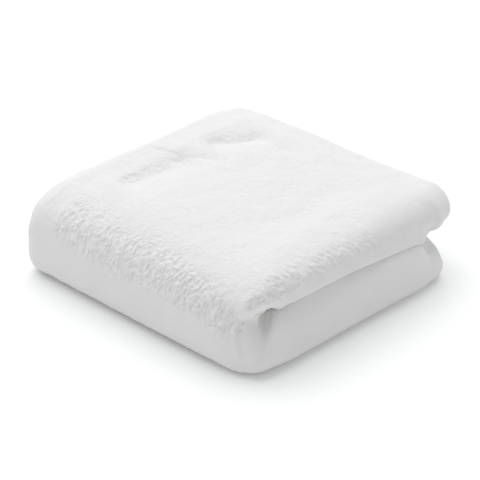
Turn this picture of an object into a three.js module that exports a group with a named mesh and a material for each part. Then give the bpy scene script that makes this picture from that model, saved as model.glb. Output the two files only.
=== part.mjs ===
// A thick plush washcloth, folded in half and then in half again, lying flat. Millimetres, +Z up.
// The origin is the middle of the footprint, on the surface that the cloth lies on.
// The first fold lies along +X, and the side hems, stacked on one another, along -X. The second fold lies
// along -Y, the front, where it turns the doubled cloth back over itself, so the hemmed ends are at +Y.
import * as THREE from "three";

// The folded bundle
const height = 50; // four layers and their pile
const seamHeight = 25; // where the upper half lies on the lower half
const layerGap = 1.2; // the least room between two layers
const plushThickness = 12.5; // the most that one layer measures, so that a looser fold holds air
const innerHemReach = 4; // X, how far the inner layer's side hem lies beyond the outer layer's
const foldEndRounding = 20; // X, how far the first fold draws in at the open ends
const hemEndRounding = 10; // X, the same for the side hems

// Sections across the doubled cloth, from the lower open end, round the second fold, to the upper open end.
// Each gives the outside and the inside of the pair of layers, and where the first fold and the hems lie.
const sections = [
  { outY: 44.2, outZ: 0, inY: 39.2, inZ: 23.6, foldX: 85.3, hemX: -81.2 },
  { outY: 12.2, outZ: 0, inY: 12.2, inZ: 25.4, foldX: 85.8, hemX: -81.7 },
  { outY: -22.8, outZ: 0, inY: -15.8, inZ: 27.5, foldX: 86.3, hemX: -82.2 },
  { outY: -54.8, outZ: 0, inY: -40.8, inZ: 29, foldX: 85.3, hemX: -82.2 },
  { outY: -67.3, outZ: 0, inY: -47.8, inZ: 27.4, foldX: 83.3, hemX: -80.7 },
  { outY: -75.3, outZ: 3.2, inY: -51.3, inZ: 23.3, foldX: 80.3, hemX: -78.7 },
  { outY: -79, outZ: 10.5, inY: -54.8, inZ: 20.3, foldX: 77.8, hemX: -76.7 },
  { outY: -79.8, outZ: 19, inY: -58.8, inZ: 22.5, foldX: 75.8, hemX: -75.7 },
  { outY: -78.3, outZ: 29, inY: -59.8, inZ: 28, foldX: 75.8, hemX: -75.7 },
  { outY: -73.3, outZ: 39, inY: -56.8, inZ: 32, foldX: 77.3, hemX: -76.7 },
  { outY: -63.8, outZ: 45.5, inY: -49.8, inZ: 32.4, foldX: 79.8, hemX: -77.7 },
  { outY: -49.8, outZ: 48.8, inY: -40.8, inZ: 30.6, foldX: 82.3, hemX: -78.2 },
  { outY: -17.8, outZ: 50, inY: -13.8, inZ: 28.8, foldX: 83.3, hemX: -77.2 },
  { outY: 20.2, outZ: 50, inY: 20.2, inZ: 27, foldX: 82.8, hemX: -75.7 },
  { outY: 52.2, outZ: 50, inY: 54.2, inZ: 25, foldX: 81.3, hemX: -78.2 },
];

// The top face across the bundle, by X, and along it, by Y: how far it lies above or below the height
const topAcross = [
  { at: -85, rise: -9 },
  { at: -77, rise: -5 },
  { at: -67, rise: -2.8 },
  { at: -51, rise: -1.2 },
  { at: -21, rise: -0.8 },
  { at: 19, rise: -1.6 },
  { at: 47, rise: -1 },
  { at: 65, rise: 0 },
  { at: 85, rise: -0.5 },
];
const topAlong = [
  { at: 36, rise: 0 },
  { at: 56, rise: -1.2 },
  { at: 68, rise: -3.6 },
  { at: 80, rise: -8.5 },
];

// A turned hem, in from the cloth's edge: its share of the layer's thickness, with a dip along the stitching
const hemProfile = [
  { inset: 0, fullness: 0.3 },
  { inset: 1.2, fullness: 0.68 },
  { inset: 6, fullness: 1 },
  { inset: 12, fullness: 0.94 },
  { inset: 17, fullness: 0.74 },
  { inset: 26, fullness: 1 },
];
const hemBand = hemProfile.at(-1).inset;

// How finely the cloth is divided
const stepsPerSection = 2;
const fieldSteps = 7; // across each layer, from its hem band to the first fold
const foldSteps = 8; // round the first fold

const mix = (from, to, share) => from + (to - from) * share;
const curveOf = (first, second) =>
  new THREE.SplineCurve(sections.map((row) => new THREE.Vector2(row[first], row[second])));
const outsideCurve = curveOf("outY", "outZ");
const insideCurve = curveOf("inY", "inZ");
const sideCurve = curveOf("foldX", "hemX");

// How far the top face rises at a place in one of its tables
function riseAt(rows, place) {
  const after = rows.findIndex((row) => row.at > place);
  if (after === 0) return rows[0].rise;
  if (after < 0) return rows.at(-1).rise;
  const start = rows[after - 1];
  const end = rows[after];
  return mix(start.rise, end.rise, THREE.MathUtils.smoothstep(place, start.at, end.at));
}

// How high a point of the upper half lies once the top face has its rises and falls
function settle(x, y, z) {
  const upperHalf = height - seamHeight;
  const fullness = (1 + riseAt(topAcross, x) / upperHalf) * (1 + riseAt(topAlong, y) / upperHalf);
  return z > seamHeight ? seamHeight + (z - seamHeight) * fullness : z;
}

// How far a round corner draws a side in, at a distance in from the open end
function drawnIn(inset, pull) {
  const share = 1 - inset / hemBand;
  return pull * (1 - Math.sqrt(1 - share * share));
}

// The places along the cloth: the lower end's hem, the sections round the second fold, the upper end's hem
function placesAlong() {
  const steps = (sections.length - 1) * stepsPerSection;
  const lowerHem = hemProfile.map((row) => ({ ...row, share: 0 }));
  const upperHem = hemProfile.map((row) => ({ ...row, share: 1 })).reverse();
  const between = [];
  for (let i = 1; i < steps; i++) {
    between.push({ share: i / steps, inset: hemBand, fullness: 1 });
  }
  return [...lowerHem, ...between, ...upperHem].map(({ share, inset, fullness }) => {
    const outside = outsideCurve.getPoint(share);
    const inside = insideCurve.getPoint(share);
    const side = sideCurve.getPoint(share);
    outside.y = Math.max(outside.y, 0);
    return {
      outside,
      inside,
      foldX: side.x - drawnIn(inset, foldEndRounding),
      hemX: side.y + drawnIn(inset, hemEndRounding),
      pastSections: hemBand - inset,
      fullness,
    };
  });
}

// The places across the cloth: the outer layer from its hem, the first fold, the inner layer to its hem.
// The turn runs from 0 on the outer layer to 1 on the inner one, and the reach from the hem to the fold.
function placesAcross() {
  const hem = hemProfile.map((row) => ({ ...row, reach: 0 }));
  const field = [];
  for (let i = 1; i < fieldSteps; i++) {
    field.push({ inset: hemBand, fullness: 1, reach: i / fieldSteps });
  }
  const outer = [...hem, ...field].map((place) => ({ ...place, turn: 0 }));
  const inner = [...hem, ...field].map((place) => ({ ...place, turn: 1 })).reverse();
  const fold = [];
  for (let i = 0; i <= foldSteps; i++) {
    fold.push({ inset: hemBand, fullness: 1, reach: 1, turn: i / foldSteps });
  }
  return [...outer, ...fold, ...inner];
}

// A point of the cloth's surface: face 1 is its outside once it is folded in half, and face -1 its inside
function pointOf(along, across, face) {
  const pair = along.outside.distanceTo(along.inside);
  const layer = Math.min(plushThickness, (pair - layerGap) / 2);
  const halfLayer = (layer / 2) * along.fullness * across.fullness;
  const fromMiddle = (pair - layer) / 2 + face * halfLayer;
  const angle = Math.PI * (0.5 - across.turn);
  const hemX = along.hemX - innerHemReach * across.turn;
  const x = mix(hemX + across.inset, along.foldX - pair / 2, across.reach) + fromMiddle * Math.cos(angle);
  const outward = 0.5 + (fromMiddle * Math.sin(angle)) / pair;
  const y = mix(along.inside.x, along.outside.x, outward) + along.pastSections;
  const z = mix(along.inside.y, along.outside.y, outward);
  return new THREE.Vector3(x, y, settle(x, y, z));
}

// Both faces of the cloth, joined all round along its edge
function clothGeometry() {
  const along = placesAlong();
  const across = placesAcross();
  const positions = [];
  for (const face of [1, -1]) {
    for (const row of along) {
      for (const place of across) {
        positions.push(...pointOf(row, place, face).toArray());
      }
    }
  }
  const faceSize = along.length * across.length;
  const corner = (i, j) => i * across.length + j;
  const triangles = [];
  const addQuad = (a, b, c, d) => triangles.push(a, b, c, a, c, d);
  for (let i = 0; i < along.length - 1; i++) {
    for (let j = 0; j < across.length - 1; j++) {
      const quad = [corner(i, j), corner(i, j + 1), corner(i + 1, j + 1), corner(i + 1, j)];
      addQuad(...quad);
      addQuad(...quad.reverse().map((index) => index + faceSize));
    }
  }
  for (const [start, end] of edgeSteps(along.length, across.length, corner)) {
    addQuad(start, start + faceSize, end + faceSize, end);
  }
  const geometry = new THREE.BufferGeometry();
  geometry.setAttribute("position", new THREE.Float32BufferAttribute(positions, 3));
  geometry.setIndex(triangles);
  geometry.computeVertexNormals();
  return geometry;
}

// The steps round the cloth's edge, in the order that faces them outwards
function edgeSteps(rows, columns, corner) {
  const edge = [];
  for (let j = 0; j < columns - 1; j++) edge.push(corner(0, j));
  for (let i = 0; i < rows - 1; i++) edge.push(corner(i, columns - 1));
  for (let j = columns - 1; j > 0; j--) edge.push(corner(rows - 1, j));
  for (let i = rows - 1; i > 0; i--) edge.push(corner(i, 0));
  return edge.map((start, index) => [start, edge[(index + 1) % edge.length]]);
}

const plush = new THREE.MeshStandardMaterial({ color: 0xf3f2f0, roughness: 1, metalness: 0 });
const cloth = new THREE.Mesh(clothGeometry(), plush);
cloth.name = "washcloth";

const foldedWashcloth = new THREE.Group();
foldedWashcloth.add(cloth);

export default foldedWashcloth;
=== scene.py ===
import math

import bpy
import numpy as np
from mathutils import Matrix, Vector, noise


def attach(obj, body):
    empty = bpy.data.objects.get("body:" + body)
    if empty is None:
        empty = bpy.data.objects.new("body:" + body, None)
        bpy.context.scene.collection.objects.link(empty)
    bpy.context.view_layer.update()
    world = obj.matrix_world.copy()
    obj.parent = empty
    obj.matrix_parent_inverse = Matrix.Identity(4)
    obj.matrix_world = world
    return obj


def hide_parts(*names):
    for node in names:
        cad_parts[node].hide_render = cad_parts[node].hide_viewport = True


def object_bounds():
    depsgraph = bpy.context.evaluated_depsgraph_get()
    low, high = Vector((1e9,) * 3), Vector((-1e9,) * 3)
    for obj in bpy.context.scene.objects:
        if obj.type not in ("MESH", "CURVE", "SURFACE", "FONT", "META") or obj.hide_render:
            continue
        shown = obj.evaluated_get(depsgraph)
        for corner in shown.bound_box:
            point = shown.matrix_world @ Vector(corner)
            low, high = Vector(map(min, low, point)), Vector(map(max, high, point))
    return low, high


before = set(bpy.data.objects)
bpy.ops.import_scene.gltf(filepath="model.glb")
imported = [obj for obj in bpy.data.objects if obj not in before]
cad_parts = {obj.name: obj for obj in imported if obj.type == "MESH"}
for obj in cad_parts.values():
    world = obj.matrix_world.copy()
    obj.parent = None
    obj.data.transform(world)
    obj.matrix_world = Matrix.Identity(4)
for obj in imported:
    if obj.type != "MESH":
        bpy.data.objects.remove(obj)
cadLow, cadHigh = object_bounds()
mm = 0.001


# helpers

def deselectAll():
    if bpy.context.object and bpy.context.object.mode != "OBJECT":
        bpy.ops.object.mode_set(mode="OBJECT")
    bpy.ops.object.select_all(action="DESELECT")


def makeActive(piece):
    deselectAll()
    piece.select_set(True)
    bpy.context.view_layer.objects.active = piece


def placeInMesh(piece):
    makeActive(piece)
    bpy.ops.object.transform_apply(location=True, rotation=True, scale=True)


def applyModifiers(piece):
    makeActive(piece)
    for modifier in list(piece.modifiers):
        bpy.ops.object.modifier_apply(modifier=modifier.name)


def readPoints(piece):
    points = np.empty(len(piece.data.vertices) * 3, np.float32)
    piece.data.vertices.foreach_get("co", points)
    return points.reshape(-1, 3).astype(float)


def writePoints(piece, points):
    piece.data.vertices.foreach_set("co", points.astype(np.float32).ravel())
    piece.data.update()


def readNormals(piece):
    normals = np.empty(len(piece.data.vertices) * 3, np.float32)
    piece.data.vertices.foreach_get("normal", normals)
    return normals.reshape(-1, 3).astype(float)


def smoothStep(values, low, high):
    share = np.clip((values - low) / (high - low), 0, 1)
    return share * share * (3 - 2 * share)


def mix(low, high, share):
    return low + (high - low) * share


# camera: a long lens, turned and raised as in the photograph

cameraView = {
    "azimuth": 43.8,            # degrees, 0 looks along +Y
    "elevation": 28.9,
    "distance": 1063.7 * mm,    # from the middle of the bundle
    "middle": (-1.2 * mm, 2.2 * mm, 25 * mm),
    "lens": 157.5,              # mm, as its sensor
    "sensor": 36,
    "nearest": 0.05,            # metres, nothing nearer is drawn
    "shift": (-4 / 480, -16.4 / 480),   # share of the picture's width
}


def makeCamera():
    azimuth = math.radians(cameraView["azimuth"])
    elevation = math.radians(cameraView["elevation"])
    backwards = Vector((
        math.sin(azimuth) * math.cos(elevation),
        -math.cos(azimuth) * math.cos(elevation),
        math.sin(elevation),
    ))
    place = Vector(cameraView["middle"]) + backwards * cameraView["distance"]
    bpy.ops.object.camera_add(location=place, rotation=(-backwards).to_track_quat("-Z", "Y").to_euler())
    camera = bpy.context.object
    camera.name = "camera"
    camera.data.lens = cameraView["lens"]
    camera.data.sensor_width = cameraView["sensor"]
    camera.data.shift_x, camera.data.shift_y = cameraView["shift"]
    camera.data.clip_start = cameraView["nearest"]
    bpy.context.scene.camera = camera


makeCamera()
print("camera in place")


# light: a pale world, a broad soft panel overhead and two weak ones low down

worldLook = {"colour": (0.965, 0.985, 1), "strength": 0.472}
lights = {
    "panel": {"size": 2.2, "place": (-0.6, 0.2, 1.45), "power": 26.5},
    "fill": {"size": 1, "place": (-1, -1.6, 0.5), "power": 1.2},      # for the left of the front
    "behind": {"size": 1, "place": (0.3, 1.9, 0.3), "power": 4},      # for the far ends of the two rolls
}
paperLook = {
    "size": 9,
    "colour": (0.95, 0.95, 0.95),
    "roughness": 0.9,
    "glow": (0.04, 0.13),       # painted light: the paper glows a little, more on the right, which lightens its shadows there
    "glowEdge": (0.02, 0.14),   # where along X, in metres, the glow grows from the one to the other
}


def makeWorld():
    world = bpy.data.worlds.new("studio")
    bpy.context.scene.world = world
    world.use_nodes = True
    background = world.node_tree.nodes["Background"]
    background.inputs["Color"].default_value = (*worldLook["colour"], 1)
    background.inputs["Strength"].default_value = worldLook["strength"]


def makeLights():
    for name, look in lights.items():
        bpy.ops.object.light_add(type="AREA", location=look["place"])
        light = bpy.context.object
        light.name = name
        light.data.size = look["size"]
        light.data.energy = look["power"]
        light.rotation_euler = (-light.location).to_track_quat("-Z", "Y").to_euler()


def makePaper():
    paper = bpy.data.materials.new("whitePaper")
    paper.use_nodes = True
    nodes, links = paper.node_tree.nodes, paper.node_tree.links
    shader = nodes["Principled BSDF"]
    shader.inputs["Base Color"].default_value = (*paperLook["colour"], 1)
    shader.inputs["Roughness"].default_value = paperLook["roughness"]
    shader.inputs["Specular IOR Level"].default_value = 0
    shader.inputs["Emission Color"].default_value = (1, 1, 1, 1)
    place = nodes.new("ShaderNodeTexCoord")
    split = nodes.new("ShaderNodeSeparateXYZ")
    # painted light: the paper's glow grows along X and lightens the shadows on the floor, most on the right
    glow = nodes.new("ShaderNodeMapRange")
    glow.interpolation_type = "SMOOTHSTEP"
    glow.inputs["From Min"].default_value, glow.inputs["From Max"].default_value = paperLook["glowEdge"]
    glow.inputs["To Min"].default_value, glow.inputs["To Max"].default_value = paperLook["glow"]
    links.new(place.outputs["Object"], split.inputs["Vector"])
    links.new(split.outputs["X"], glow.inputs["Value"])
    links.new(glow.outputs["Result"], shader.inputs["Emission Strength"])
    return paper


def makeFloor():
    deselectAll()
    bpy.ops.mesh.primitive_plane_add(size=paperLook["size"], location=(0, 0, 0))
    floor = bpy.context.object
    floor.name = "floor"
    placeInMesh(floor)
    floor.data.materials.append(makePaper())


makeWorld()
makeLights()
makeFloor()
bpy.context.scene.view_settings.view_transform = "Standard"
print("studio in place")


# the washcloth: a flat square of plush, folded along its own sections

washcloth = {
    "flatWidth": 335,           # across the first fold
    "flatLength": 325,          # across the second fold
    # the coarsest cells of the mesh: each stretch of the flat cloth up to a place, and its cells' length
    "cellsAcross": [(1.2, 1.2), (6, 2.4), (26, 5), (335, 6.2)],
    "cellsAlong": [(1.2, 1.2), (6, 2.4), (26, 5), (319, 5.98), (325, 3)],
    "height": 50,
    "seamHeight": 25,           # where the upper half lies on the lower half
    "layerGap": 1.2,
    "plushThickness": 12.5,
    "foldRun": 20,              # how much cloth the first fold takes
    # how round the first fold is, 1 for a round edge and less for a squarer one
    "foldShoulder": (0.55, 0.95),   # underneath, and everywhere else outside
    "shoulderEases": (116, 146),    # where along the flat cloth it goes from the one to the other
    "foldSeam": (0.6, 0.12),        # where the two halves meet, on the lower and the upper one
    "seamCloses": (34, 74),         # along the flat cloth; before it the halves lie closer at their edges
    "foldSeamClosed": 0.2,          # and how round it is there
    "foldSeamEnd": 1,               # both halves at the open ends
    "foldSeamEndReach": 13,         # how far in from the ends they stay like that
    "innerHemReach": 4,
    "foldEndRounding": (10, 18),    # of the lower and the upper half
    "hemEndRounding": 10,
    "halvesPart": (132, 156),       # where along the flat cloth the lower half becomes the upper one
    "flatThickness": 1,             # before it is folded
    "curveSteps": 2000,             # for measuring along the sections
}

# from the lower open end, round the second fold, to the upper open end: the outside and the inside of the
# doubled cloth by Y and Z, and where the first fold and the hems lie by X
sections = [
    {"out": (44.2, 0), "in": (39.2, 25.8), "foldX": 83.6, "hemX": -81.2},
    {"out": (12.2, 0), "in": (12.2, 27.8), "foldX": 83, "hemX": -81.7},
    {"out": (-22.8, 0), "in": (-15.8, 29.7), "foldX": 82.8, "hemX": -82.2},
    {"out": (-54.8, 0), "in": (-40.8, 31.2), "foldX": 82.6, "hemX": -82.2},
    {"out": (-68, 0), "in": (-51, 30.8), "foldX": 82.6, "hemX": -80.7},
    {"out": (-75.9, 2.8), "in": (-56, 29.4), "foldX": 80.8, "hemX": -78.7},
    {"out": (-79.3, 10.2), "in": (-59.5, 23), "foldX": 77.8, "hemX": -76.7},
    {"out": (-79.8, 19), "in": (-62.3, 24), "foldX": 74.6, "hemX": -75.7},
    {"out": (-78.3, 29), "in": (-63, 28), "foldX": 73.8, "hemX": -75.7},
    {"out": (-73.3, 39), "in": (-61, 32.2), "foldX": 75.6, "hemX": -76.7},
    {"out": (-63.8, 45.5), "in": (-55, 32.4), "foldX": 79, "hemX": -77.7},
    {"out": (-49.8, 48.8), "in": (-40.8, 30), "foldX": 80.8, "hemX": -78.2},
    {"out": (-17.8, 50), "in": (-13.8, 28.1), "foldX": 81.6, "hemX": -77.2},
    {"out": (20.2, 50), "in": (20.2, 26.1), "foldX": 82, "hemX": -75.7},
    {"out": (52.2, 50), "in": (54.2, 24.7), "foldX": 81.3, "hemX": -78.2},
]

# towards the first fold the seam lies higher
seamRise = {
    # by Y, how much
    "lift": [
        (-80, 0), (-62, 3), (-50, 4), (-41, 5.6), (-27, 6.4), (-13, 6.8),
        (2, 6.4), (17, 5.9), (33, 4.6), (50, 2.5), (80, 1),
    ],
    "across": (35, 72),         # X, from none of it to all of it
    "most": 2.5,                # how far above the seam the cloth is lifted most
    "power": 1.3,               # how fast the lift grows below that
}

# the top face across the bundle, by X, and along it, by Y: how far it lies above or below the height
topAcross = [
    (-85, -9), (-77, -5), (-67, -2.8), (-51, -1.2), (-21, -0.8), (19, -1.6), (47, -1), (66, 0), (85, -2.6),
]
topAlong = [(36, 0), (56, -1), (68, -3.2), (80, -7.8)]

# a turned hem, in from the cloth's edge: its share of the layer's thickness
hemProfile = [(0, 0.3), (1.2, 0.68), (6, 1), (12, 1), (17, 0.95), (26, 1)]
hemBand = hemProfile[-1][0]


def throughRows(rows, place):
    # a smooth curve through the rows, place 0 at the first row and 1 at the last
    rows = np.asarray(rows, float)
    at = np.clip(place, 0, 1) * (len(rows) - 1)
    index = np.minimum(at.astype(int), len(rows) - 2)
    share = (at - index)[:, None]
    before = rows[np.maximum(index - 1, 0)]
    start, end = rows[index], rows[index + 1]
    after = rows[np.minimum(index + 2, len(rows) - 1)]
    slopeIn, slopeOut = (end - before) / 2, (after - start) / 2
    return (
        (2 * start - 2 * end + slopeIn + slopeOut) * share**3
        + (-3 * start + 3 * end - 2 * slopeIn - slopeOut) * share**2
        + slopeIn * share
        + start
    )


def readTable(table, place):
    # smooth from row to row
    places, values = np.array(table, float).T
    index = np.clip(np.searchsorted(places, place, side="right") - 1, 0, len(places) - 2)
    return mix(values[index], values[index + 1], smoothStep(place, places[index], places[index + 1]))


def cellEdges(stretches):
    edges = [0.0]
    for end, cell in stretches:
        count = round((end - edges[-1]) / cell)
        edges.extend(np.linspace(edges[-1], end, count + 1)[1:])
    return np.array(edges)


def alongCloth(distance):
    # a distance along the flat cloth as a place among the sections, and how far in from the end it is
    length = washcloth["flatLength"]
    inset = np.minimum(distance, length - distance)
    fine = np.linspace(0, 1, washcloth["curveSteps"])
    outside = throughRows([row["out"] for row in sections], fine)
    inside = throughRows([row["in"] for row in sections], fine)
    middle = (outside + inside) / 2
    run = np.concatenate([[0], np.cumsum(np.linalg.norm(np.diff(middle, axis=0), axis=1))])
    share = np.clip((distance - hemBand) / (length - 2 * hemBand), 0, 1)
    place = np.interp(share * run[-1], run, fine)
    return place, np.minimum(inset, hemBand)


def seamSquareness(along, endInset, onUpper):
    lower, upper = washcloth["foldSeam"]
    lower = mix(washcloth["foldSeamClosed"], lower, smoothStep(along, *washcloth["seamCloses"]))
    squareness = np.where(onUpper, upper, lower)
    inwards = smoothStep(endInset, washcloth["foldSeamEndReach"], hemBand)
    return mix(washcloth["foldSeamEnd"], squareness, inwards)


def settleTop(x, y, z):
    # the top face sinks and rises by its two tables
    seam = washcloth["seamHeight"]
    upper = washcloth["height"] - seam
    settled = (1 + readTable(topAcross, x) / upper) * (1 + readTable(topAlong, y) / upper)
    return np.where(z > seam, seam + (z - seam) * settled, z)


def liftSeam(x, y, z):
    # the cloth moves up most at the seam, and less towards the floor and the top
    height = washcloth["height"]
    most = washcloth["seamHeight"] + seamRise["most"]
    below = (z / most) ** seamRise["power"]
    above = np.clip((height - z) / (height - most), 0, 1)
    share = np.where(z < most, below, above)
    return z + readTable(seamRise["lift"], y) * share * smoothStep(x, *seamRise["across"])


def foldCloth(flat, face):
    # flat points (across, along) of the cloth to folded ones; face 1 is the outside of the first fold
    across, along = flat[:, 0], flat[:, 1]
    place, endInset = alongCloth(along)
    outside = throughRows([row["out"] for row in sections], place)
    inside = throughRows([row["in"] for row in sections], place)
    sides = throughRows([(row["foldX"], row["hemX"]) for row in sections], place)
    outside[:, 1] = np.maximum(outside[:, 1], 0)

    # the ends' corners are round
    onUpper = along > washcloth["flatLength"] / 2
    roundShare = 1 - endInset / hemBand
    rounding = 1 - np.sqrt(np.maximum(1 - roundShare**2, 0))
    foldX = sides[:, 0] - rounding * np.where(onUpper, *washcloth["foldEndRounding"][::-1])
    hemX = sides[:, 1] + rounding * washcloth["hemEndRounding"]

    # the turn is 0 on the outer layer and 1 on the inner one, and the reach runs from the hem to the fold
    width = washcloth["flatWidth"]
    layerRun = (width - washcloth["foldRun"]) / 2
    turn = np.clip((across - layerRun) / washcloth["foldRun"], 0, 1)
    sideInset = np.minimum(across, width - across)
    reach = np.clip((sideInset - hemBand) / (layerRun - hemBand), 0, 1)
    sideInset = np.minimum(sideInset, hemBand)
    hemX = hemX - washcloth["innerHemReach"] * turn

    pair = np.linalg.norm(outside - inside, axis=1)
    layer = np.minimum(washcloth["plushThickness"], (pair - washcloth["layerGap"]) / 2)
    fullness = readTable(hemProfile, sideInset) * readTable(hemProfile, endInset)
    halfLayer = layer / 2 * fullness
    fromMiddle = (pair - layer) / 2 + face * halfLayer

    angle = np.pi * (0.5 - turn)
    shoulder = mix(*washcloth["foldShoulder"], smoothStep(along, *washcloth["shoulderEases"]))
    squareness = np.where(turn > 0.5, seamSquareness(along, endInset, onUpper), shoulder)
    bulge = np.maximum(np.cos(angle), 0) ** squareness
    thickness = np.sign(np.sin(angle)) * np.abs(np.sin(angle)) ** squareness
    outward = 0.5 + fromMiddle * thickness / pair

    x = mix(hemX + sideInset, foldX - pair / 2, reach) + fromMiddle * bulge
    y = mix(inside[:, 0], outside[:, 0], outward) + hemBand - endInset
    z = np.maximum(mix(inside[:, 1], outside[:, 1], outward), 0)
    z = settleTop(x, y, z)
    z = liftSeam(x, y, z)
    return np.stack([x, y, z], axis=1)


# how finely the outside is cut: stretches across and along the flat cloth, and how many times their cells
# are halved

finerStretches = [
    {"across": (0, 192), "along": (0, 325), "times": 1},
    {"across": (0, 30), "along": (0, 325), "times": 2},
    {"across": (142, 186), "along": (0, 325), "times": 2},
    {"across": (0, 186), "along": (120, 325), "times": 2},
    {"across": (0, 186), "along": (0, 14), "times": 2},
    {"across": (8, 158), "along": (186, 318), "times": 3},
    {"across": (8, 179), "along": (144, 190), "times": 3},
    {"across": (24, 166), "along": (155, 186), "times": 4},
    {"across": (152, 166), "along": (186, 250), "times": 4},
]


def chooseFaces(piece, chosen):
    makeActive(piece)
    bpy.ops.object.mode_set(mode="EDIT")
    bpy.ops.mesh.select_mode(type="FACE")
    bpy.ops.mesh.select_all(action="DESELECT")
    bpy.ops.object.mode_set(mode="OBJECT")
    piece.data.polygons.foreach_set("select", chosen)
    bpy.ops.object.mode_set(mode="EDIT")


def readFaces(piece, what):
    values = np.empty(len(piece.data.polygons) * 3, np.float32)
    piece.data.polygons.foreach_get(what, values)
    return values.reshape(-1, 3).astype(float)


def makeFlatCloth():
    deselectAll()
    edges = [cellEdges(washcloth["cellsAcross"]), cellEdges(washcloth["cellsAlong"])]
    cells = [len(places) - 1 for places in edges]
    bpy.ops.mesh.primitive_grid_add(x_subdivisions=cells[0], y_subdivisions=cells[1], size=1)
    cloth = bpy.context.object
    cloth.name = "plushCloth"
    points = readPoints(cloth)
    for axis, places in enumerate(edges):
        cellPlace = (points[:, axis] + 0.5) * cells[axis]
        points[:, axis] = np.interp(cellPlace, np.arange(cells[axis] + 1), places)
    writePoints(cloth, points * mm)
    solid = cloth.modifiers.new("thickness", "SOLIDIFY")
    solid.thickness = washcloth["flatThickness"] * mm
    solid.offset = 0
    applyModifiers(cloth)
    return cloth


def cutFiner(cloth):
    for times in range(1, max(stretch["times"] for stretch in finerStretches) + 1):
        centres = readFaces(cloth, "center") / mm
        chosen = np.zeros(len(centres), bool)
        for stretch in finerStretches:
            if stretch["times"] >= times:
                across, along = stretch["across"], stretch["along"]
                chosen |= (
                    (centres[:, 0] > across[0]) & (centres[:, 0] < across[1])
                    & (centres[:, 1] > along[0]) & (centres[:, 1] < along[1])
                )
        # only the upper face, which comes to lie outside
        chosen &= centres[:, 2] > washcloth["flatThickness"] / 2 - 0.1
        chooseFaces(cloth, chosen)
        bpy.ops.mesh.subdivide(number_cuts=1)
        bpy.ops.object.mode_set(mode="OBJECT")


def makeCloth():
    cloth = makeFlatCloth()
    cutFiner(cloth)
    points = readPoints(cloth) / mm
    flat, face = points[:, :2], np.sign(points[:, 2])
    writePoints(cloth, foldCloth(flat, face) * mm)
    makeActive(cloth)
    bpy.ops.object.mode_set(mode="EDIT")
    bpy.ops.mesh.select_all(action="SELECT")
    bpy.ops.mesh.normals_make_consistent(inside=False)
    bpy.ops.object.mode_set(mode="OBJECT")
    bpy.ops.object.shade_smooth()
    return cloth, flat, face > 0


cloth, flatPlaces, onOutside = makeCloth()
onInnerLayer = flatPlaces[:, 0] > washcloth["flatWidth"] / 2
onUpperHalf = smoothStep(flatPlaces[:, 1], *washcloth["halvesPart"])
triangles = sum(len(face.vertices) - 2 for face in cloth.data.polygons)
print("cloth folded,", triangles, "triangles")


# creases: soft troughs and ridges, each along a line on one side of the folded bundle

# each line is in mm, seen square on: the top by X and Y, the front by X and Z, the side by Y and Z, and the
# corner by its diagonal and Z. The widths are to the left and the right of the way that the line runs, and
# the round is 0 for a sharp bottom.
creases = {
    "top": [
        {
            "line": [(-48, -46), (-46.5, -34), (-45, -19), (-43.6, -6), (-44.5, 5), (-48, 13)],
            "widths": (9, 14), "rise": -4.3, "round": 0.3,
        },
        {
            "line": [(-52, 20), (-44.5, 30.5), (-36.5, 40.5), (-33.4, 55)],
            "widths": (6, 10), "rise": -4.1, "round": 0.3,
        },
        {
            "line": [(-50.6, -46), (-53, -60), (-51, -74)],
            "widths": (6, 12), "rise": -0.5, "round": 1,
        },
        {
            "line": [(-10.7, 56), (-12.6, 33), (-10.3, 12), (-9.4, 0)],
            "widths": (6, 6), "rise": -0.8, "round": 1,
        },
        {
            "line": [(33.5, 45), (38.7, 22), (41.9, -3), (34.8, -24), (36.3, -52)],
            "widths": (6, 6), "rise": -0.8, "round": 1,
        },
        {
            "line": [(60, -60), (57, -25), (55, 7), (55, 36), (58, 56)],
            "widths": (5, 5), "rise": 0.9, "round": 1,
        },
    ],
    "corner": [
        {
            "line": [(-5, 41), (-7.5, 36), (-9, 31), (-9.6, 26), (-9.6, 20), (-8.8, 14), (-7, 8), (-4, 2)],
            "widths": (1.6, 2.8), "rise": -1.6, "round": 0.5,
        },
        {
            "line": [(-4, 38), (-3.2, 30), (-2, 21), (-1.2, 12), (-0.6, 0)],
            "widths": (5.5, 4.5), "rise": -4, "round": 0.9,
        },
        {
            "line": [(5, 31), (5.4, 24), (5.4, 14), (5, 0)],
            "widths": (3, 3.4), "rise": 1.8, "round": 1,
        },
    ],
}
creaseFades = {
    "ends": 0.25,               # share of its length over which a crease fades at each end
    "facing": (0.15, 0.6),      # how squarely the cloth has to face a side before its creases show
    "topFrom": 30,              # the height over which the cloth counts as the top
}
bundleSides = {
    "top": {"axes": [(1, 0, 0), (0, 1, 0)], "out": (0, 0, 1)},
    "front": {"axes": [(1, 0, 0), (0, 0, 1)], "out": (0, -1, 0)},
    "side": {"axes": [(0, 1, 0), (0, 0, 1)], "out": (1, 0, 0)},
    "corner": {"axes": [(0.707, 0.707, 0), (0, 0, 1)], "out": (0.707, -0.707, 0)},
}


def seenFrom(side):
    # the two directions that a side is seen by, as columns, and the way out of it
    return np.array(bundleSides[side]["axes"]).T, np.array(bundleSides[side]["out"])


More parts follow.
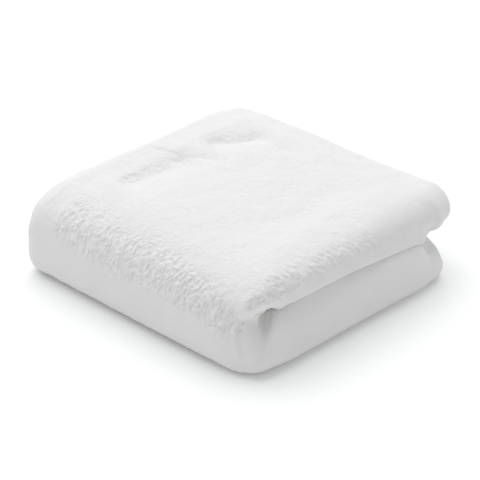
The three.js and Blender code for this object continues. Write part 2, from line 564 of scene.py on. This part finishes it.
def fromLine(places, line):
    # how far each place is from the line, less than none on its left, and where along the line it comes
    # nearest, from 0 to 1
    line = np.asarray(line, float)
    lengths = np.linalg.norm(np.diff(line, axis=0), axis=1)
    before = np.concatenate([[0], np.cumsum(lengths)])
    nearest = np.full(len(places), np.inf)
    share = np.zeros(len(places))
    for start, end, length, run in zip(line[:-1], line[1:], lengths, before):
        ahead = (end - start) / length
        along = np.clip((places - start) @ ahead, 0, length)
        offset = places - start - along[:, None] * ahead
        distance = np.linalg.norm(offset, axis=1)
        closer = distance < np.abs(nearest)
        onLeft = ahead[0] * offset[:, 1] > ahead[1] * offset[:, 0]
        nearest[closer] = np.where(onLeft, -distance, distance)[closer]
        share[closer] = (run + along[closer]) / before[-1]
    return nearest, share


def pressCreases(points, normals, mask):
    moved = points.copy()
    for side, rows in creases.items():
        axes, out = seenFrom(side)
        facing = smoothStep(normals @ out, *creaseFades["facing"]) * mask
        if side == "top":
            facing = facing * (points[:, 2] > creaseFades["topFrom"])
        for row in rows:
            away, share = fromLine(points @ axes, row["line"])
            ends = creaseFades["ends"]
            fade = smoothStep(share, 0, ends) * (1 - smoothStep(share, 1 - ends, 1))
            apart = np.abs(away) / np.where(away < 0, *row["widths"])
            depth = row["rise"] * np.exp(row["round"] - np.hypot(apart, row["round"])) * fade * facing
            moved += normals * depth[:, None]
    return moved


# soft unevenness all over the outside

lumps = {
    "rise": 0.3,                # mm, the most that the plush swells or sinks from place to place
    "sizes": [(11, 1), (4.5, 0.45)],   # how far apart the swells lie in mm, and their share of the rise
    "sideShare": 0.5,           # of the rise, on the sides of the bundle
    "facingUp": (0.2, 0.8),     # from there to the whole of it, by how squarely the cloth faces up
}


def swellPlush(points, normals, mask):
    swell = np.zeros(len(points))
    for size, share in lumps["sizes"]:
        for index in np.flatnonzero(mask):
            swell[index] += share * noise.noise(Vector(points[index]) / size)
    upShare = smoothStep(normals[:, 2], *lumps["facingUp"])
    swell *= lumps["rise"] * mix(lumps["sideShare"], 1, upShare)
    return points + normals * swell[:, None]


# dents pushed into the bundle from outside, through all its layers. The widths are above and below the line,
# and the halves are a dent's share on the lower and the upper half.

dents = [
    # where the two halves part at the far end of the first fold
    {
        "side": "side", "line": [(45, 28.5), (58, 26.5), (75, 25.5), (90, 25.5)],
        "widths": (3.5, 9.5), "depth": 20, "halves": (1, 1),
    },
    # the lower half lies back under the upper one near the second fold
    {
        "side": "side", "line": [(16, 37), (-16, 38), (-52, 36), (-84, 30)],
        "widths": (17, 17), "depth": 4.6, "halves": (1, 0),
    },
]
dentRun = 0.6   # share of its line after which a dent has its full depth
dentReach = cadHigh[0] / mm     # it grows evenly from the middle of the bundle to here


def pushDents(points, onUpper):
    moved = points.copy()
    for dent in dents:
        axes, out = seenFrom(dent["side"])
        away, share = fromLine(points @ axes, dent["line"])
        apart = np.abs(away) / np.where(away < 0, *dent["widths"])
        depth = dent["depth"] * np.exp(-(apart**3)) * np.minimum(share / dentRun, 1)
        depth *= mix(*dent["halves"], onUpper)
        moved -= out * (depth * np.clip(points @ out / dentReach, 0, 1))[:, None]
    return moved


# the loop inside the second fold: open at its end, and closing on itself a little way in

loop = {
    "middle": (-57, 30.5),      # Y and Z
    "reach": (12.6, 18),        # how far from the middle the cloth is still drawn in all the way, and at all
    "closing": (1.2, 4.5),      # how far in from the end it begins to close, and has closed
    "leftOpen": 0.06,           # share of the loop's width
}


def closeLoop(points, flat, mask):
    foldX = throughRows([[row["foldX"]] for row in sections], alongCloth(flat[:, 1])[0])[:, 0]
    away = points[:, 1:] - loop["middle"]
    near = 1 - smoothStep(np.linalg.norm(away, axis=1), *loop["reach"])
    inwards = smoothStep(foldX - points[:, 0], *loop["closing"])
    kept = 1 - near * inwards * (1 - loop["leftOpen"]) * mask
    moved = points.copy()
    moved[:, 1:] = loop["middle"] + away * kept[:, None]
    return moved


# pile: curled locks lying over one another, laid out over the flat cloth and raised from its face

pile = {
    "grain": 0.25,              # mm between the points of the height field
    "locks": 0.34,              # to a square millimetre
    "length": (2.2, 4.8),
    "halfWidth": (0.5, 0.75),
    "curl": (0.15, 0.6),        # radians that a lock turns in each millimetre
    "stray": 0.9,               # radians that it strays from the way its neighbours lie
    "swirlSize": 10,            # mm, how far apart the swirls lie that neighbours share
    "swirlTurns": 1.2,
    "step": 0.4,                # along a lock
    "overlap": 0.45,            # how much higher the topmost locks lie, as a share of a lock's height
    "turnBack": 0.4,            # share of the locks that curl the other way in their second half
    "seed": 5,
    # how high the locks stand, in mm
    "sideRise": 0.14,
    "topRise": 0.3,
    "facingUp": (0.3, 0.8),     # how squarely the cloth faces up, from the one to the other
    # the ruffled stretches along the two front edges, each with its rise at the start and the end of its line
    "patches": [
        {
            "side": "front", "line": [(-50, 37), (-16, 35), (19, 35), (45, 33), (64, 28)],
            "width": 8.5, "rise": (0.9, 1.15),
        },
        {
            "side": "side", "line": [(-74, 40.5), (-62, 44), (-45, 45), (-30, 45.5)],
            "width": 3.8, "rise": (1.1, 0.75),
        },
        {
            "side": "side", "line": [(-30, 45.5), (-5, 45.5), (30, 45), (50, 43)],
            "width": 3, "rise": (0.75, 0.45),
        },
    ],
    "patchFacing": (0.05, 0.3),     # how squarely the cloth has to face a patch's side
    "patchesFrom": 20,          # the height below which there are none
    "fadeIn": 0.35,             # share of a patch's width over which it rises from its surroundings
}


def startLocks():
    # where each lock starts and how it lies, with a swirl that neighbours share
    chance = np.random.default_rng(pile["seed"])
    size = (washcloth["flatWidth"], washcloth["flatLength"])
    count = round(pile["locks"] * size[0] * size[1])
    place = chance.uniform((0, 0), size, (count, 2))
    swirl = np.array([noise.noise(Vector((x, y, 0)) / pile["swirlSize"]) for x, y in place])
    heading = swirl * pile["swirlTurns"] * 2 * math.pi - math.pi / 2
    heading += chance.uniform(-pile["stray"], pile["stray"], count)
    return {
        "place": place,
        "heading": heading,
        "curl": chance.uniform(*pile["curl"], count) * chance.choice([-1, 1], count),
        "turnsBack": chance.random(count) < pile["turnBack"],
        "length": chance.uniform(*pile["length"], count),
        "halfWidth": chance.uniform(*pile["halfWidth"], count),
        "layer": chance.random(count) * pile["overlap"],
    }


def layLocks():
    # the height field over the flat cloth, from 0 to 1
    locks = startLocks()
    place, heading = locks["place"], locks["heading"]
    columns = int(washcloth["flatWidth"] / pile["grain"]) + 1
    rows = int(washcloth["flatLength"] / pile["grain"]) + 1
    field = np.zeros((columns, rows))
    reach = math.ceil(pile["halfWidth"][1] / pile["grain"])
    for index in range(int(pile["length"][1] / pile["step"])):
        run = (index + 0.5) * pile["step"] / locks["length"]
        lying = run < 1
        turn = np.where(locks["turnsBack"] & (run > 0.5), -locks["curl"], locks["curl"])
        heading = heading + turn * pile["step"]
        place = place + np.stack([np.cos(heading), np.sin(heading)], axis=1) * pile["step"]
        crest = (locks["layer"] + 1) * np.sqrt(np.sin(np.pi * np.clip(run, 0, 1)))
        nearest = np.round(place / pile["grain"]).astype(int)
        for stepAcross in range(-reach, reach + 1):
            for stepAlong in range(-reach, reach + 1):
                cell = nearest + (stepAcross, stepAlong)
                onCloth = np.all(cell >= 0, axis=1) & np.all(cell < (columns, rows), axis=1)
                away = np.sum((cell * pile["grain"] - place) ** 2, axis=1) / locks["halfWidth"] ** 2
                inside = lying & onCloth & (away < 1)
                rise = (crest * (1 - np.minimum(away, 1)))[inside]
                np.maximum.at(field, (cell[inside, 0], cell[inside, 1]), rise)
    return field / (1 + pile["overlap"])


def softenField(field):
    for axis in (0, 1):
        field = (np.roll(field, 1, axis) + 2 * field + np.roll(field, -1, axis)) / 4
    return field


def readField(field, flat):
    place = np.clip(flat / pile["grain"], 0, np.array(field.shape) - 1.001)
    low = place.astype(int)
    across, along = (place - low).T
    return mix(
        mix(field[low[:, 0], low[:, 1]], field[low[:, 0] + 1, low[:, 1]], across),
        mix(field[low[:, 0], low[:, 1] + 1], field[low[:, 0] + 1, low[:, 1] + 1], across),
        along,
    )


def pileRise(points, normals):
    rise = mix(pile["sideRise"], pile["topRise"], smoothStep(normals[:, 2], *pile["facingUp"]))
    for patch in pile["patches"]:
        axes, out = seenFrom(patch["side"])
        away, share = fromLine(points @ axes, patch["line"])
        facing = smoothStep(normals @ out, *pile["patchFacing"]) * (points[:, 2] > pile["patchesFrom"])
        fade = patch["width"] * pile["fadeIn"]
        near = 1 - smoothStep(np.abs(away), patch["width"] - fade, patch["width"] + fade)
        rise = mix(rise, mix(*patch["rise"], share), near * facing)
    return rise


clothPoints = closeLoop(readPoints(cloth) / mm, flatPlaces, onOutside & onInnerLayer)
clothPoints = pushDents(clothPoints, onUpperHalf)
writePoints(cloth, clothPoints * mm)
clothPoints = pressCreases(clothPoints, readNormals(cloth), onOutside)
clothPoints = swellPlush(clothPoints, readNormals(cloth), onOutside)
writePoints(cloth, clothPoints * mm)
print("creases pressed in")

lockField = softenField(layLocks())
lockHeight = (readField(lockField, flatPlaces) - lockField.mean()) * onOutside
clothNormals = readNormals(cloth)
clothPoints += clothNormals * (lockHeight * pileRise(clothPoints, clothNormals))[:, None]
clothPoints[:, 2] = np.maximum(clothPoints[:, 2], 0)
writePoints(cloth, clothPoints * mm)
print("pile raised")


# plush: matt white, its fibres finer than the mesh

plushLook = {
    "roughness": 1,
    "specular": 0,
    "darkTone": (0.77, 0.768, 0.755),
    "lightTone": (0.8, 0.798, 0.785),
    "mottle": {"scale": 90, "detail": 3, "distortion": 0},
    "curls": {"scale": 420, "detail": 1, "distortion": 1.2, "depth": 0.22 * mm},
    "fibres": {"scale": 1700, "detail": 2, "distortion": 0.4, "depth": 0.05 * mm},
}


def makePlush():
    plush = bpy.data.materials.new("whitePlush")
    plush.use_nodes = True
    nodes, links = plush.node_tree.nodes, plush.node_tree.links
    shader = nodes["Principled BSDF"]
    shader.inputs["Roughness"].default_value = plushLook["roughness"]
    shader.inputs["Specular IOR Level"].default_value = plushLook["specular"]
    place = nodes.new("ShaderNodeTexCoord")

    def addNoise(look):
        texture = nodes.new("ShaderNodeTexNoise")
        texture.inputs["Scale"].default_value = look["scale"]
        texture.inputs["Detail"].default_value = look["detail"]
        texture.inputs["Distortion"].default_value = look["distortion"]
        links.new(place.outputs["Object"], texture.inputs["Vector"])
        return texture.outputs["Fac"]

    tone = nodes.new("ShaderNodeValToRGB")
    tone.color_ramp.elements[0].color = (*plushLook["darkTone"], 1)
    tone.color_ramp.elements[1].color = (*plushLook["lightTone"], 1)
    links.new(addNoise(plushLook["mottle"]), tone.inputs["Fac"])
    links.new(tone.outputs["Color"], shader.inputs["Base Color"])

    # each bump's normal goes into the next one, and the last into the shader
    normal = None
    for layer in ("curls", "fibres"):
        bump = nodes.new("ShaderNodeBump")
        bump.inputs["Distance"].default_value = plushLook[layer]["depth"]
        links.new(addNoise(plushLook[layer]), bump.inputs["Height"])
        if normal:
            links.new(normal, bump.inputs["Normal"])
        normal = bump.outputs["Normal"]
    links.new(normal, shader.inputs["Normal"])
    return plush


cloth.data.materials.clear()
cloth.data.materials.append(makePlush())
print("plush on")

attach(cloth, "root")
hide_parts("washcloth")
